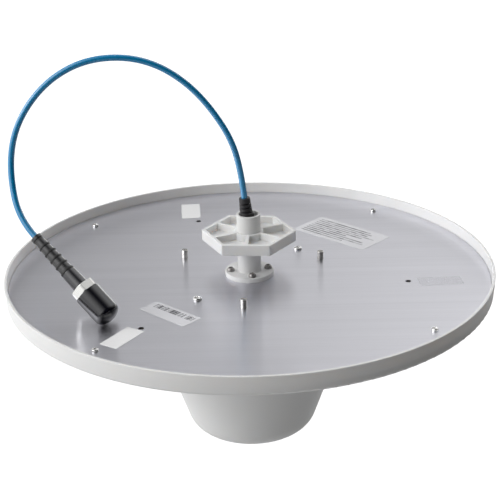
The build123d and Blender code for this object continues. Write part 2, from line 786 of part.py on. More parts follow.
boot_bore = cable_radius + cable_play
with BuildPart() as connector_boot:
    with BuildSketch(plug_side):
        with BuildLine():
            outline = FilletPolyline(
                (boot_bore, 0),
                (boot_rear_radius + boot_rib_height, 0),
                (boot_rear_radius + boot_rib_height, boot_collar_length),
                (boot_rear_radius, boot_collar_length),
                (boot_front_radius, boot_length),
                (body_neck_radius, boot_length),
                (body_neck_radius, body_start),
                (boot_bore, body_start),
                radius=[soft_edge, fine_edge, fine_edge, 0, 0, fine_edge],
            )
            Line(outline @ 1, outline @ 0)
        make_face()
    revolve(axis=plug_axis)
    with BuildSketch(plug_side):
        for rib in range(boot_rib_count):
            station = boot_rib_first + rib * boot_rib_pitch
            grown = boot_rear_radius + (boot_front_radius - boot_rear_radius) * station / boot_length
            with Locations((grown, station)):
                Rectangle(2 * boot_rib_height, boot_rib_width)
        fillet(vertices(), boot_rib_edge)
    revolve(axis=plug_axis)
save(connector_boot.part, "connector_boot")

sleeve_bore = body_neck_radius + fixed_clearance
connector_sleeve = turned(
    [
        (sleeve_bore, boot_length),
        (sleeve_bore + sleeve_rear_wall, boot_length),
        (sleeve_bore + sleeve_wall, sleeve_end),
        (sleeve_bore, sleeve_end),
    ],
    [0, fine_edge, fine_edge, 0],
    plug_side,
    plug_axis,
)
save(connector_sleeve, "connector_sleeve")

rear_bore = contact_radius + contact_gap
connector_body = turned(
    [
        (rear_bore, body_start),
        (body_neck_radius, body_start),
        (body_neck_radius, shoulder_start),
        (shoulder_radius, shoulder_start),
        (shoulder_radius, shoulder_end),
        (body_mouth_radius, shoulder_end),
        (body_mouth_radius, mouth_end),
        (mouth_bore, mouth_end),
        (mouth_bore, dielectric_start),
        (rear_bore, dielectric_start),
    ],
    None,
    plug_side,
    plug_axis,
)
save(connector_body, "connector_body")

retaining_ring = turned(
    [
        (body_neck_radius + fixed_clearance, sleeve_end),
        (ring_clip_radius, sleeve_end),
        (ring_clip_radius, ring_clip_end),
        (body_neck_radius + fixed_clearance, ring_clip_end),
    ],
    None,
    plug_side,
    plug_axis,
)
save(retaining_ring, "retaining_ring")

with BuildPart() as coupling_nut:
    with BuildSketch(plug_side):
        with BuildLine():
            outline = FilletPolyline(
                (body_neck_radius + running_clearance, nut_start),
                (nut_hexagon_corner, nut_start),
                (nut_hexagon_corner, nut_collar_end),
                (nut_skirt_radius, nut_collar_end),
                (nut_skirt_radius, nut_end),
                (nut_thread_radius, nut_end),
                (nut_thread_radius, nut_start + nut_rear_wall),
                (body_neck_radius + running_clearance, nut_start + nut_rear_wall),
                radius=[soft_edge, fine_edge, 0, fine_edge, fine_edge, 0],
            )
            Line(outline @ 1, outline @ 0)
        make_face()
    revolve(axis=plug_axis)
    with BuildSketch(plug_section(nut_start)):
        Circle(nut_hexagon_corner + nut_rear_wall)
        RegularPolygon(
            nut_hexagon,
            6,
            major_radius=False,
            rotation=nut_hexagon_turn,
            mode=Mode.SUBTRACT,
        )
    extrude(amount=nut_collar_end - nut_start, mode=Mode.SUBTRACT)
save(coupling_nut.part, "coupling_nut")

coupling_gasket = turned(
    [
        (body_mouth_radius + fixed_clearance, shoulder_end),
        (shoulder_radius, shoulder_end),
        (shoulder_radius, shoulder_end + gasket_thickness),
        (body_mouth_radius + fixed_clearance, shoulder_end + gasket_thickness),
    ],
    [0, fine_edge, fine_edge, 0],
    plug_side,
    plug_axis,
)
save(coupling_gasket, "coupling_gasket")

connector_dielectric = turned(
    [
        (contact_radius + fixed_clearance, dielectric_start),
        (mouth_bore - fixed_clearance, dielectric_start),
        (mouth_bore - fixed_clearance, dielectric_start + dielectric_length),
        (contact_radius + fixed_clearance, dielectric_start + dielectric_length),
    ],
    None,
    plug_side,
    plug_axis,
)
save(connector_dielectric, "connector_dielectric")

centre_contact = turned(
    [
        (0, contact_start),
        (contact_radius, contact_start),
        (contact_radius, contact_end - contact_tip_length),
        (contact_tip_radius, contact_end - contact_tip_length),
        (contact_tip_radius, contact_end),
        (0, contact_end),
    ],
    [0, fine_edge, fine_edge, 0, soft_edge, 0],
    plug_side,
    plug_axis,
)
save(centre_contact, "centre_contact")

# The end is a crown on the axis that runs into the corner's arc without a crease.
crown_inset = dust_cap_radius - dust_cap_corner
crown_rise = dust_cap_dome - dust_cap_corner
crown_radius = (crown_inset**2 + dust_cap_dome**2 - dust_cap_corner**2) / (2 * crown_rise)
crown_turn = degrees(atan2(crown_radius - dust_cap_dome, crown_inset))
with BuildPart() as dust_cap:
    with BuildSketch(plug_side):
        with BuildLine():
            FilletPolyline(
                (dust_cap_bore, dust_cap_shoulder),
                (dust_cap_bore, dust_cap_start),
                (dust_cap_radius, dust_cap_start),
                (dust_cap_radius, dust_cap_shoulder),
                radius=[fine_edge, soft_edge],
            )
            for inset in (0, dust_cap_wall):
                CenterArc(
                    (crown_inset, dust_cap_shoulder),
                    dust_cap_corner - inset,
                    0,
                    crown_turn,
                )
                CenterArc(
                    (0, dust_cap_end - crown_radius),
                    crown_radius - inset,
                    crown_turn,
                    90 - crown_turn,
                )
            Line((0, dust_cap_end), (0, dust_cap_end - dust_cap_wall))
        make_face()
    revolve(axis=plug_axis)
save(dust_cap.part, "dust_cap")
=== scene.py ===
import logging
from dataclasses import dataclass, field
from enum import Enum
from math import cos, pi, radians, sin, tan

import bmesh
import bpy
import numpy as np
from mathutils import Matrix, Vector


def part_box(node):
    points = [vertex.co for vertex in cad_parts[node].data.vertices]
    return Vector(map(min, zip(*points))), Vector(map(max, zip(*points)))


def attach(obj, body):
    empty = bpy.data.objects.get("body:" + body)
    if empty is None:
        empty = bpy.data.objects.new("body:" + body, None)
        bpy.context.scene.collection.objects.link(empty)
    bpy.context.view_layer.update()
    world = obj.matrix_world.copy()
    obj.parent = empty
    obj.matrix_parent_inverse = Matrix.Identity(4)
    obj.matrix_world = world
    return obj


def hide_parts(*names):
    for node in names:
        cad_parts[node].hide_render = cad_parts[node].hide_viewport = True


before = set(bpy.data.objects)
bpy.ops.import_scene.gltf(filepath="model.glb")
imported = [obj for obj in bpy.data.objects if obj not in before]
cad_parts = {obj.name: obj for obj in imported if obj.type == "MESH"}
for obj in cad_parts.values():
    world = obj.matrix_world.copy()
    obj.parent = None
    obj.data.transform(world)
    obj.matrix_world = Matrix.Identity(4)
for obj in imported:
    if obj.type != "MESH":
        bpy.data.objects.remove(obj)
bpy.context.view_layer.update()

MM = 0.001
PLATE_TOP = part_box("ground_plane")[1].z
PLUG_REAR = (-164.8, -54.2, 49.044)  # centre of the boot's rear end, in millimetres
PLUG_HEADING = -34.9                 # direction of the plug's nose seen from above, in degrees
PLUG_FALL = 35.7                     # its fall below the level, in degrees
LOG = logging.getLogger("ceiling_antenna")

Colour = tuple[float, float, float]
Pair = tuple[float, float]
Socket = bpy.types.NodeSocket
Material = bpy.types.Material
Object = bpy.types.Object


def heading(azimuth: float, elevation: float) -> Vector:
    """Unit vector of a direction.

    Args:
        azimuth: degrees from X towards Y.
        elevation: degrees above the plate's plane.

    Returns:
        The direction.
    """
    a, e = radians(azimuth), radians(elevation)
    return Vector((cos(e) * cos(a), cos(e) * sin(a), sin(e)))


# ------------------------------------------------------------------ shader nodes


class Graph:
    """Nodes of one shader tree, with short calls that add and join them."""

    def __init__(self, tree: bpy.types.NodeTree) -> None:
        """Wraps a tree.

        Args:
            tree: the node tree of a material, world or group.
        """
        self.tree = tree

    def add(self, kind: str, inputs: dict | None = None, **settings) -> bpy.types.Node:
        """Adds a node.

        Args:
            kind: the node's type without its ShaderNode prefix.
            inputs: socket name or number to a value, or to the socket that feeds it.
            settings: properties of the node itself.

        Returns:
            The new node.
        """
        node = self.tree.nodes.new("ShaderNode" + kind)
        for name, value in settings.items():
            setattr(node, name, value)
        self.feed(node, inputs or {})
        return node

    def feed(self, node: bpy.types.Node, inputs: dict) -> None:
        """Sets or links a node's inputs.

        Args:
            node: the node.
            inputs: socket name or number to a value, or to the socket that feeds it.
        """
        for key, value in inputs.items():
            if isinstance(value, bpy.types.NodeSocket):
                self.tree.links.new(value, node.inputs[key])
            else:
                node.inputs[key].default_value = value

    def math(self, operation: str, *values: float | Socket) -> Socket:
        """Adds a Math node.

        Args:
            operation: the node's operation.
            values: its inputs in order.

        Returns:
            The result's socket.
        """
        return self.add("Math", dict(enumerate(values)), operation=operation).outputs[0]

    def vector(self, operation: str, *values: Socket | Vector) -> bpy.types.Node:
        """Adds a Vector Math node.

        Args:
            operation: the node's operation.
            values: its inputs in order.

        Returns:
            The node, whose outputs are Vector and Value.
        """
        return self.add("VectorMath", dict(enumerate(values)), operation=operation)

    def scaled(self, colour: Socket, factor: Socket) -> Socket:
        """Multiplies a colour by a number."""
        return self.add("VectorMath", {0: colour, "Scale": factor}, operation="SCALE").outputs[0]

    def noise(self, place: Socket, **settings: float | Socket) -> Socket:
        """Adds cloudy noise.

        Args:
            place: the coordinates it follows.
            settings: the texture's inputs by name.

        Returns:
            The noise's value, about 0.5.
        """
        return self.add("TexNoise", {"Vector": place, **settings}).outputs[0]

    def chance(self, seed: Socket) -> Socket:
        """A random number from 0 to 1 for each value of a number."""
        return self.add("TexWhiteNoise", {"W": seed}, noise_dimensions="1D").outputs[0]

    def spread(self, value: Socket, low: float, high: float, source: Pair = (0, 1)) -> Socket:
        """Maps a value from one range to another, and clamps it there.

        Args:
            value: the value to map.
            low: result at the start of the source range.
            high: result at its end.
            source: the range that is mapped.

        Returns:
            The result's socket.
        """
        limits = {0: value, 1: source[0], 2: source[1], 3: low, 4: high}
        return self.add("MapRange", limits).outputs[0]

    def within(self, value: Socket, limits: Pair) -> Socket:
        """Gives 1 where the value lies between the limits, and 0 elsewhere."""
        above = self.math("GREATER_THAN", value, limits[0])
        return self.math("MULTIPLY", above, self.math("LESS_THAN", value, limits[1]))

    def blend(self, share: Socket, first: Socket | tuple, second: Socket | tuple) -> Socket:
        """Mixes two colours, from the first at 0 to the second at 1."""
        return self.add("Mix", {0: share, 6: first, 7: second}, data_type="RGBA").outputs[2]

    def bump(self, height: Socket, strength: float, distance: float) -> Socket:
        """Turns a height into a normal.

        Args:
            height: the height, from 0 to 1.
            strength: how much of the relief shows.
            distance: the relief's depth in metres.

        Returns:
            The normal's socket.
        """
        return self.add("Bump", {"Strength": strength, "Distance": distance, "Height": height}).outputs[0]


class Group:
    """A shader node group with named inputs and outputs, built once and used by many materials."""

    def __init__(self, name: str, inputs: dict[str, float | tuple], outputs: dict[str, str]) -> None:
        """Starts a group.

        Args:
            name: the group's name.
            inputs: input names with their default values.
            outputs: output names with their socket types.
        """
        self.tree = bpy.data.node_groups.new(name, "ShaderNodeTree")
        for label, value in inputs.items():
            kind = "NodeSocketFloat" if isinstance(value, (int, float)) else "NodeSocketColor"
            self.tree.interface.new_socket(label, in_out="INPUT", socket_type=kind).default_value = value
        for label, kind in outputs.items():
            self.tree.interface.new_socket(label, in_out="OUTPUT", socket_type=kind)
        self.graph = Graph(self.tree)
        self.inputs = self.tree.nodes.new("NodeGroupInput").outputs
        self.outputs = self.tree.nodes.new("NodeGroupOutput").inputs

    def give(self, label: str, socket: Socket) -> None:
        """Feeds an output of the group."""
        self.tree.links.new(socket, self.outputs[label])

    def place(self, graph: Graph, **values: float | tuple | Socket) -> bpy.types.Node:
        """Puts the group into a material.

        Args:
            graph: the material's graph.
            values: the group's inputs by name.

        Returns:
            The group's node.
        """
        node = graph.tree.nodes.new("ShaderNodeGroup")
        node.node_tree = self.tree
        graph.feed(node, values)
        return node


def moulded_skin() -> Group:
    """Skin of a moulding: broad mottling of its colour and gloss, and a fine pebbled grain.

    Returns:
        The group, with outputs Colour, Roughness and Height.
    """
    group = Group(
        "moulded_skin",
        {"Colour": (0.8, 0.8, 0.8, 1), "Mottle": 0.03, "Gloss": 0.35, "Uneven": 0.05, "Grain": 900.0},
        {"Colour": "NodeSocketColor", "Roughness": "NodeSocketFloat", "Height": "NodeSocketFloat"},
    )
    g, given = group.graph, group.inputs
    place = g.add("TexCoord").outputs["Object"]
    broad = g.noise(place, Scale=14.0, Detail=3.0, Roughness=0.55)
    cloud = g.noise(place, Scale=60.0, Detail=2.0, Roughness=0.5)
    grain = g.noise(place, Scale=given["Grain"], Detail=2.0)
    swing = g.math("MULTIPLY", g.math("SUBTRACT", broad, 0.5), given["Mottle"])
    shade = g.math("ADD", 1.0, g.math("MULTIPLY", swing, 2.0))
    rough = g.math("MULTIPLY", g.math("SUBTRACT", cloud, 0.5), given["Uneven"])
    group.give("Colour", g.scaled(given["Colour"], shade))
    group.give("Roughness", g.math("ADD", given["Gloss"], rough))
    group.give("Height", grain)
    return group


def drawn_lines() -> Group:
    """Straight grain of brushed or drawn metal: noise pulled out along X into long thin lines.

    Returns:
        The group, with outputs Tone, a value about 0.5, and Height.
    """
    group = Group(
        "drawn_lines",
        {"Along": 3.0, "Across": 900.0, "Broad": 60.0},
        {"Tone": "NodeSocketFloat", "Height": "NodeSocketFloat"},
    )
    g, given = group.graph, group.inputs
    place = g.add("SeparateXYZ", {0: g.add("TexCoord").outputs["Object"]}).outputs
    heights = []
    for across, detail in (("Across", 3.0), ("Broad", 4.0)):
        scales = (given["Along"], given[across], given[across])
        stretched = {i: g.math("MULTIPLY", place[i], scale) for i, scale in enumerate(scales)}
        heights.append(g.noise(g.add("CombineXYZ", stretched).outputs[0], Scale=1.0, Detail=detail))
    fine, broad = heights
    fine_share = 0.55
    tone = g.math("ADD", g.math("MULTIPLY", fine, fine_share), g.math("MULTIPLY", broad, 1 - fine_share))
    group.give("Tone", tone)
    group.give("Height", fine)
    return group


def turning_marks() -> Group:
    """Fine rings and slight tarnish on small turned metal parts.

    Returns:
        The group, with outputs Colour, Roughness and Height.
    """
    group = Group(
        "turning_marks",
        {"Colour": (0.8, 0.8, 0.8, 1), "Gloss": 0.2, "Tarnish": 0.1},
        {"Colour": "NodeSocketColor", "Roughness": "NodeSocketFloat", "Height": "NodeSocketFloat"},
    )
    g, given = group.graph, group.inputs
    place = g.add("TexCoord").outputs["Object"]
    cloud = g.noise(place, Scale=160.0, Detail=4.0, Roughness=0.6)
    rings = g.add("TexWave", {"Vector": place, "Scale": 700.0, "Distortion": 1.5}, bands_direction="Z")
    stained = (0.45, 0.75)  # where the cloud begins to stain, and where it stains in full
    dulling = 0.6           # roughness that a full stain adds
    stain = g.math("MULTIPLY", g.spread(cloud, 0.0, 1.0, stained), given["Tarnish"])
    group.give("Colour", g.scaled(given["Colour"], g.math("SUBTRACT", 1.0, stain)))
    group.give("Roughness", g.math("ADD", given["Gloss"], g.math("MULTIPLY", stain, dulling)))
    group.give("Height", rings.outputs["Fac"])
    return group


SKIN = moulded_skin()
LINES = drawn_lines()
MARKS = turning_marks()


# ------------------------------------------------------------------ finishes


def fresh_material(name: str) -> tuple[Material, Graph, bpy.types.Node]:
    """Starts a material with an empty tree, a Principled BSDF and its output.

    Args:
        name: the material's name.

    Returns:
        The material, its graph and its Principled BSDF.
    """
    material = bpy.data.materials.new(name)
    material.use_nodes = True
    material.node_tree.nodes.clear()
    graph = Graph(material.node_tree)
    shader = graph.add("BsdfPrincipled")
    graph.add("OutputMaterial", {"Surface": shader.outputs[0]})
    return material, graph, shader


@dataclass(frozen=True)
class Moulding:
    """A plain plastic or rubber moulding.

    Mottle is the swing of its colour and uneven that of its roughness. Grain is the scale of its
    pebbles, depth their height in metres and relief the share of it that shows. Scatter is the
    share of light that spreads below the skin, scatter_scale how far it spreads in metres, and
    scatter_reach how far red, green and blue go of that.
    """

    name: str
    colour: Colour
    gloss: float = 0.38
    mottle: float = 0.02
    uneven: float = 0.08
    grain: float = 900.0
    relief: float = 0.06
    depth: float = 0.0002
    ior: float = 1.48
    scatter: float = 0.0
    scatter_reach: Colour = (1.0, 0.9, 0.8)
    scatter_scale: float = 0.004

    def make(self) -> Material:
        """Makes the material: the moulded skin's colour, gloss and grain on a dielectric.

        Returns:
            The material.
        """
        material, graph, shader = fresh_material(self.name)
        skin = SKIN.place(
            graph,
            Colour=(*self.colour, 1),
            Mottle=self.mottle,
            Gloss=self.gloss,
            Uneven=self.uneven,
            Grain=self.grain,
        ).outputs
        looks = {
            "Base Color": skin["Colour"],
            "Roughness": skin["Roughness"],
            "Normal": graph.bump(skin["Height"], self.relief, self.depth),
            "IOR": self.ior,
        }
        if self.scatter:
            looks["Subsurface Weight"] = self.scatter
            looks["Subsurface Radius"] = self.scatter_reach
            looks["Subsurface Scale"] = self.scatter_scale
        graph.feed(shader, looks)
        return material


@dataclass(frozen=True)
class RibbedPaintedShade(Moulding):
    """The boot's moulding, with painted shade in its grooves, which come out darker and duller.

    The grooves lie at even steps along the plug's axis, the first at its own distance from the
    boot's rear, and past their count the boot is plain. First, pitch and width are in
    millimetres. Edge is the share of half a groove's width over which its painted shade runs out
    on either side, dark the tone that the painted shade leaves in it, and dulling the roughness that it
    adds.
    """

    first: float = 10.6
    pitch: float = 6.7
    width: float = 2.6
    count: int = 5
    edge: float = 0.4
    dark: float = 0.25
    dulling: float = 0.35

    def make(self) -> Material:
        """Makes the plain moulding and paints shade into a window of each step along the axis, at the
        grooves.

        Returns:
            The material.
        """
        material = super().make()
        graph = Graph(material.node_tree)
        shader = next(node for node in graph.tree.nodes if node.type == "BSDF_PRINCIPLED")
        place = graph.add("TexCoord").outputs["Object"]
        offset = graph.vector("SUBTRACT", place, Vector(PLUG_REAR) * MM).outputs[0]
        axis = heading(PLUG_HEADING, -PLUG_FALL)
        along = graph.vector("DOT_PRODUCT", offset, axis).outputs["Value"]
        past_first = graph.math("SUBTRACT", along, self.first * MM)
        steps = graph.math("ADD", graph.math("DIVIDE", past_first, self.pitch * MM), 0.5)
        from_groove = graph.math("ABSOLUTE", graph.math("SUBTRACT", graph.math("FRACT", steps), 0.5))
        half = self.width / self.pitch / 2
        shore = ((1 - self.edge) * half, (1 + self.edge) * half)
        # painted shade: the base colour darkens towards the middle of each groove, down to the dark tone
        between = graph.spread(from_groove, self.dark, 1.0, shore)
        beyond = graph.math("GREATER_THAN", steps, float(self.count))
        shade = graph.math("MAXIMUM", between, beyond)
        colour = shader.inputs["Base Color"].links[0].from_socket
        rough = shader.inputs["Roughness"].links[0].from_socket
        duller = graph.math("MULTIPLY", graph.math("SUBTRACT", 1.0, shade), self.dulling)
        looks = {"Base Color": graph.scaled(colour, shade), "Roughness": graph.math("ADD", rough, duller)}
        graph.feed(shader, looks)
        return material


@dataclass(frozen=True)
class BrushedSheet:
    """Sheet metal brushed along X, so that it mirrors sharply along the grain and smears across it.

    Pull is how far a reflection is drawn out, tone the swing of the lines' brightness and
    gloss_swing that of their roughness, and contrast the span of the noise that they use. Along,
    across and broad are the noise's scales, depth its height in metres and relief the share of it
    that shows.
    """

    name: str
    colour: Colour
    gloss: float = 0.31
    gloss_swing: float = 0.015
    pull: float = 0.95
    tone: float = 0.05
    relief: float = 0.015
    depth: float = 0.0001
    along: float = 3.0
    across: float = 1500.0
    broad: float = 90.0
    contrast: Pair = (0.3, 0.7)

    def make(self) -> Material:
        """Makes the material: drawn lines in tone, gloss and relief, with an anisotropic mirror.

        Returns:
            The material.
        """
        material, graph, shader = fresh_material(self.name)
        lines = LINES.place(graph, Along=self.along, Across=self.across, Broad=self.broad).outputs
        light, dark = ((*(c * (1 + s * self.tone) for c in self.colour), 1) for s in (1, -1))
        level = graph.spread(lines["Tone"], 0.0, 1.0, self.contrast)
        duller, finer = self.gloss + self.gloss_swing, self.gloss - self.gloss_swing
        looks = {
            "Base Color": graph.blend(level, dark, light),
            "Roughness": graph.spread(lines["Tone"], duller, finer, self.contrast),
            "Normal": graph.bump(lines["Height"], self.relief, self.depth),
            "Tangent": graph.add("CombineXYZ", {0: 0.0, 1: 1.0, 2: 0.0}).outputs[0],
            "Metallic": 1.0,
            "Anisotropic": self.pull,
        }
        graph.feed(shader, looks)
        return material


@dataclass(frozen=True)
class TurnedMetal:
    """Small turned or stamped metal parts."""

    name: str
    colour: Colour
    gloss: float = 0.22
    tarnish: float = 0.12
    relief: float = 0.04
    depth: float = 0.0001

    def make(self) -> Material:
        """Makes the material: faint turning rings and a little tarnish on bare metal.

        Returns:
            The material.
        """
        material, graph, shader = fresh_material(self.name)
        marks = MARKS.place(graph, Colour=(*self.colour, 1), Gloss=self.gloss, Tarnish=self.tarnish).outputs
        looks = {
            "Base Color": marks["Colour"],
            "Roughness": marks["Roughness"],
            "Normal": graph.bump(marks["Height"], self.relief, self.depth),
            "Metallic": 1.0,
        }
        graph.feed(shader, looks)
        return material


class Print(Enum):
    """What a sticker carries. Nothing on it is lettering."""

    BARE = "bare"
    RULED = "ruled lines"
    BARS = "bars"


@dataclass(frozen=True)
class Rules:
    """Rows of plain ruled lines, each broken into dashes.

    Stroke is the span of a row that a line fills. Margins are shares of the label's height, and
    left and the range of the lines' ends are shares of its length.
    """

    rows: float = 11.0
    dashes: float = 14.0
    stroke: Pair = (0.25, 0.72)
    margins: Pair = (0.09, 0.91)
    left: float = 0.06
    ends: Pair = (0.6, 0.95)
    weights: Pair = (0.35, 0.95)

    def mask(self, graph: Graph, u: Socket, v: Socket) -> Socket:
        """Windows on V, cut at a chance length on U, with dashes of uneven weight.

        Args:
            graph: the material's graph.
            u: place along the label.
            v: place up it.

        Returns:
            The ink's weight.
        """
        rows = graph.math("MULTIPLY", v, self.rows)
        row = graph.math("FLOOR", rows)
        end = graph.spread(graph.chance(row), *self.ends)
        dash = graph.math("FLOOR", graph.math("MULTIPLY", u, self.dashes))
        cell = graph.add("CombineXYZ", {0: dash, 1: row}).outputs[0]
        chance = graph.add("TexWhiteNoise", {"Vector": cell}, noise_dimensions="2D").outputs[0]
        line = graph.within(graph.math("FRACT", rows), self.stroke)
        past_left = graph.math("GREATER_THAN", u, self.left)
        inside = graph.math("MULTIPLY", graph.within(v, self.margins), past_left)
        line = graph.math("MULTIPLY", line, graph.math("LESS_THAN", u, end))
        line = graph.math("MULTIPLY", line, inside)
        return graph.math("MULTIPLY", line, graph.spread(chance, *self.weights))


@dataclass(frozen=True)
class Bars:
    """A band of upright bars of chance widths.

    Its height and length are spans in shares of the label's. A column is inked where its chance
    value is past inked_from.
    """

    columns: float = 160.0
    inked_from: float = 0.4
    height: Pair = (0.54, 0.86)
    length: Pair = (0.1, 0.94)

    def mask(self, graph: Graph, u: Socket, v: Socket) -> Socket:
        """Columns on U that are inked where a chance value is high.

        Args:
            graph: the material's graph.
            u: place along the label.
            v: place up it.

        Returns:
            The ink's weight.
        """
        column = graph.math("FLOOR", graph.math("MULTIPLY", u, self.columns))
        inked = graph.math("GREATER_THAN", graph.chance(column), self.inked_from)
        band = graph.math("MULTIPLY", graph.within(v, self.height), graph.within(u, self.length))
        return graph.math("MULTIPLY", inked, band)


PATTERNS = {Print.RULED: Rules(), Print.BARS: Bars()}


@dataclass(frozen=True)
class Paper:
    """Printed paper or film of a sticker, with its pattern laid out on the sticker's own UV map.

    Fibre is the scale of its grain, and the other values mean what a moulding's do.
    """

    name: str
    colour: Colour
    printed: Print = Print.BARE
    gloss: float = 0.45
    uneven: float = 0.1
    mottle: float = 0.02
    fibre: float = 2500.0
    relief: float = 0.1
    depth: float = 0.00005
    ink: Colour = (0.08, 0.08, 0.09)
    alpha: float = 1.0

    def make(self) -> Material:
        """Makes the material: paper fibre in colour and relief, and the pattern in grey ink.

        Returns:
            The material.
        """
        material, graph, shader = fresh_material(self.name)
        skin = SKIN.place(
            graph,
            Colour=(*self.colour, 1),
            Mottle=self.mottle,
            Gloss=self.gloss,
            Uneven=self.uneven,
            Grain=self.fibre,
        ).outputs
        looks = {
            "Base Color": self.inked(graph, skin["Colour"]),
            "Roughness": skin["Roughness"],
            "Normal": graph.bump(skin["Height"], self.relief, self.depth),
            "Alpha": self.alpha,
        }
        graph.feed(shader, looks)
        return material

    def inked(self, graph: Graph, paper: Socket) -> Socket:
        """Prints the pattern.

        Args:
            graph: the material's graph.
            paper: the bare paper's colour.

        Returns:
            The printed paper's colour.
        """
        if self.printed is Print.BARE:
            return paper
        u, v, _ = graph.add("SeparateXYZ", {0: graph.add("UVMap").outputs[0]}).outputs
        mask = PATTERNS[self.printed].mask(graph, u, v)
        return graph.blend(mask, paper, (*self.ink, 1))


Finish = Moulding | BrushedSheet | TurnedMetal | Paper


# ------------------------------------------------------------------ meshes


def grid_faces(rows: int, columns: int, closed: bool) -> np.ndarray:
    """Quads of a grid of points, numbered row by row.

    Args:
        rows: points along the first parameter.
        columns: points along the second.
        closed: whether the last column joins the first.

    Returns:
        Corner numbers, four to a face.
    """
    across = columns if closed else columns - 1
    i, j = np.meshgrid(np.arange(rows - 1), np.arange(across), indexing="ij")
    near = i * columns + j
    far = i * columns + (j + 1) % columns
    return np.stack([near, far, far + columns, near + columns], -1).reshape(-1, 4)


def mesh_object(name: str, points: np.ndarray, faces: np.ndarray, crease: float) -> Object:
    """Makes a finished object: doubles merged, faces outward, smooth up to an angle.

    Args:
        name: the piece's name.
        points: its points in metres, any shape with three numbers last.
        faces: corner numbers of its faces.
        crease: edges sharper than this many degrees stay sharp.

    Returns:
        The object, linked to the scene.
    """
    mesh = bpy.data.meshes.new(name)
    mesh.from_pydata(points.reshape(-1, 3).tolist(), [], faces.tolist())
    clean(mesh, crease)
    return link(name, mesh)


def link(name: str, data: bpy.types.ID) -> Object:
    """Makes an object of a mesh, curve, light or camera and links it to the scene.

    Args:
        name: the object's name.
        data: what it shows.

    Returns:
        The object.
    """
    obj = bpy.data.objects.new(name, data)
    bpy.context.scene.collection.objects.link(obj)
    return obj


def clean(mesh: bpy.types.Mesh, crease: float, merge: float = 1e-7, sliver: float = 1e-8) -> None:
    """Merges a mesh's doubles, turns its faces outward and shades it smooth up to an angle.

    Args:
        mesh: the mesh to finish.
        crease: edges sharper than this many degrees stay sharp.
        merge: points closer than this many metres become one.
        sliver: edges shorter than this many metres go.
    """
    work = bmesh.new()
    work.from_mesh(mesh)
    bmesh.ops.remove_doubles(work, verts=work.verts, dist=merge)
    bmesh.ops.dissolve_degenerate(work, edges=work.edges, dist=sliver)
    bmesh.ops.recalc_face_normals(work, faces=work.faces)
    work.to_mesh(mesh)
    work.free()
    shade(mesh, crease)


def shade(mesh: bpy.types.Mesh, crease: float) -> None:
    """Shades a mesh smooth, apart from edges sharper than this many degrees."""
    mesh.shade_smooth()
    mesh.set_sharp_from_angle(angle=radians(crease))


def smoothstep(low: float, high: float, value: np.ndarray) -> np.ndarray:
    """Rises smoothly from 0 at low to 1 at high: three t squared minus two t cubed."""
    t = np.clip((value - low) / (high - low), 0, 1)
    return t * t * (3 - 2 * t)


@dataclass
class ScrewSet:
    """Pan-head screws with a cross recess, set on a circle and standing on a flat face.

    Lengths are in millimetres and angles in degrees. Arm, rim and slot, which is half the width
    of the recess, are shares of the head's radius. Recess is a share of the head's rise, runout
    of the arm's length and tip of the shank's radius.
    """

    name: str
    node: str
    circle: float
    start: float
    count: int
    head: float
    rise: float
    seat: float
    shank: float
    length: float
    fullness: float = 3.4
    recess: float = 0.55
    slot: float = 0.11
    arm: float = 0.62
    runout: float = 0.55
    rim: float = 0.97
    tip: float = 0.3
    twist: tuple[float, ...] = (12.0, 71.0, 38.0, 55.0)
    rings: int = 34
    crowding: float = 0.8
    columns: int = 72
    crease: float = 50.0

    def surface(self, twist: float) -> tuple[np.ndarray, np.ndarray]:
        """One screw as a grid of rings.

        The head's height over its radius r is rise * (1 - (r / head) ** f) ** (1 / f), where f is
        the head's fullness, less the recess, whose depth is full where a point is closer to the
        middle of an arm than the slot's half width, and runs out towards the arms' ends. Below the
        head the rings go in to the shank and down it.

        Args:
            twist: turn of the recess, in radians.

        Returns:
            Points and faces, with the head's underside at height 0.
        """
        turns = np.linspace(0, 2 * pi, self.columns, endpoint=False)
        share = np.linspace(0, 1, self.rings) ** self.crowding
        r = self.head * share[:, None] * np.ones_like(turns)
        z = self.rise * (1 - (r / self.head) ** self.fullness) ** (1 / self.fullness)
        x, y = r * np.cos(turns - twist), r * np.sin(turns - twist)
        near = np.minimum(abs(x), abs(y))
        along = np.maximum(abs(x), abs(y))
        slot = self.slot * self.head
        reach = self.arm * self.head
        across = 1 - smoothstep(slot, 2.0 * slot, near)
        cut = across * (1 - smoothstep(self.runout * reach, reach, along))
        z = z - self.recess * self.rise * cut
        points = [np.stack([r * np.cos(turns), r * np.sin(turns), z], -1)]
        for radius, height in (
            (self.head * self.rim, 0.0),
            (self.shank, 0.0),
            (self.shank, -self.length + self.shank),
            (self.tip * self.shank, -self.length),
            (0.0, -self.length),
        ):
            level = np.full_like(turns, height)
            points.append(np.stack([radius * np.cos(turns), radius * np.sin(turns), level], -1)[None])
        surface = np.concatenate(points)
        return surface, grid_faces(len(surface), len(turns), True)

    def build(self) -> Object:
        """Makes all the set's screws as one piece in place of their CAD node.

        Returns:
            The piece.
        """
        points, faces, first = [], [], 0
        for k in range(self.count):
            angle = radians(self.start + 360 * k / self.count)
            grid, quads = self.surface(radians(self.twist[k % len(self.twist)]))
            grid = grid + (self.circle * cos(angle), self.circle * sin(angle), self.seat)
            points.append(grid.reshape(-1, 3))
            faces.append(quads + first)
            first += grid.size // 3
        screws = mesh_object(self.name, np.concatenate(points) * MM, np.concatenate(faces), self.crease)
        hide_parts(self.node)
        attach(screws, "root")
        LOG.info("made %s, %d screws", self.name, self.count)
        return screws


